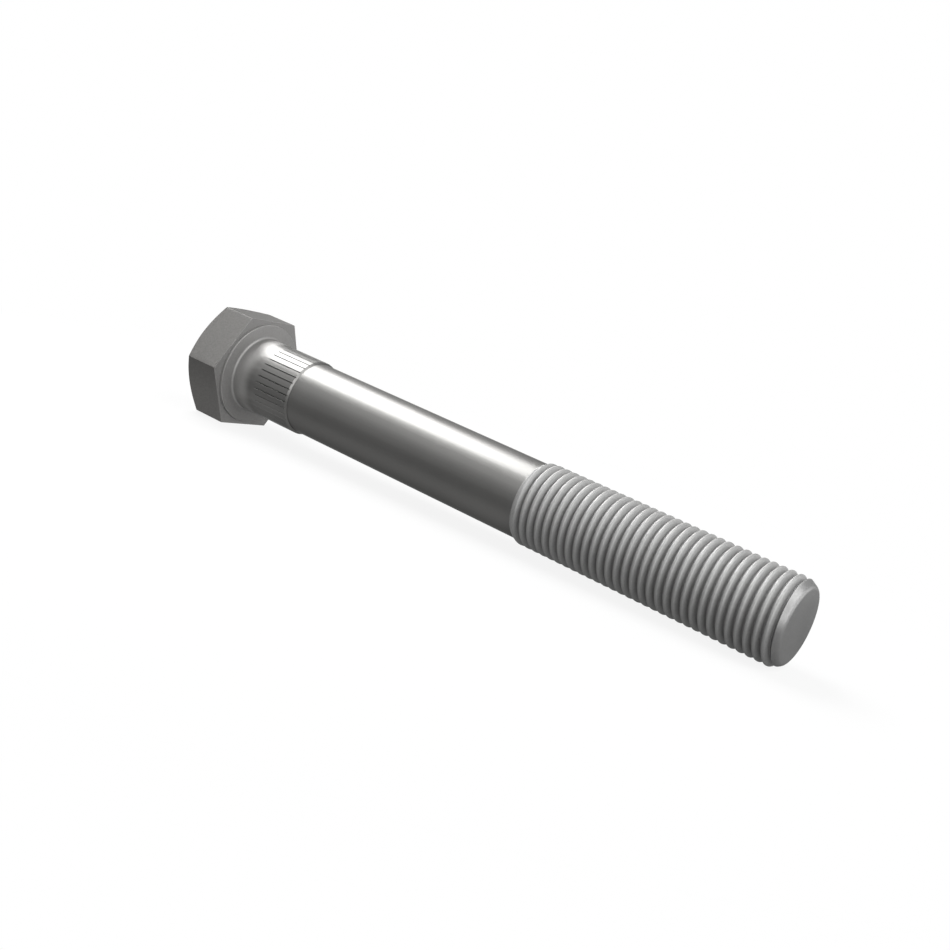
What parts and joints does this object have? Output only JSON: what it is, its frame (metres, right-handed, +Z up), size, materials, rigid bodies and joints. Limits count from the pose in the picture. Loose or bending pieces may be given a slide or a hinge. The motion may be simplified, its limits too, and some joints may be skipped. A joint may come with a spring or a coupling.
{
  "type": "hexagon head bolt",
  "caption": "Hexagon head bolt with a raised round bearing face, a serrated shoulder that presses into its hole, a plain shank and a fine-threaded end.",
  "frame": {"origin": "centre of the underside of the bounding box, on the surface that the bolt lies on", "axes": "+X along the bolt from its head to its threaded end, +Z up; the axis falls 1.5 degrees towards the thread, because the bolt rests on a flat of its head and on its thread"},
  "size_m": [0.1016, 0.0196, 0.0172],
  "materials": {
    "steel": "satin, bare rolled and machined steel"
  },
  "bodies": {
    "root": {"bolt": "steel"}
  },
  "joints": []
}
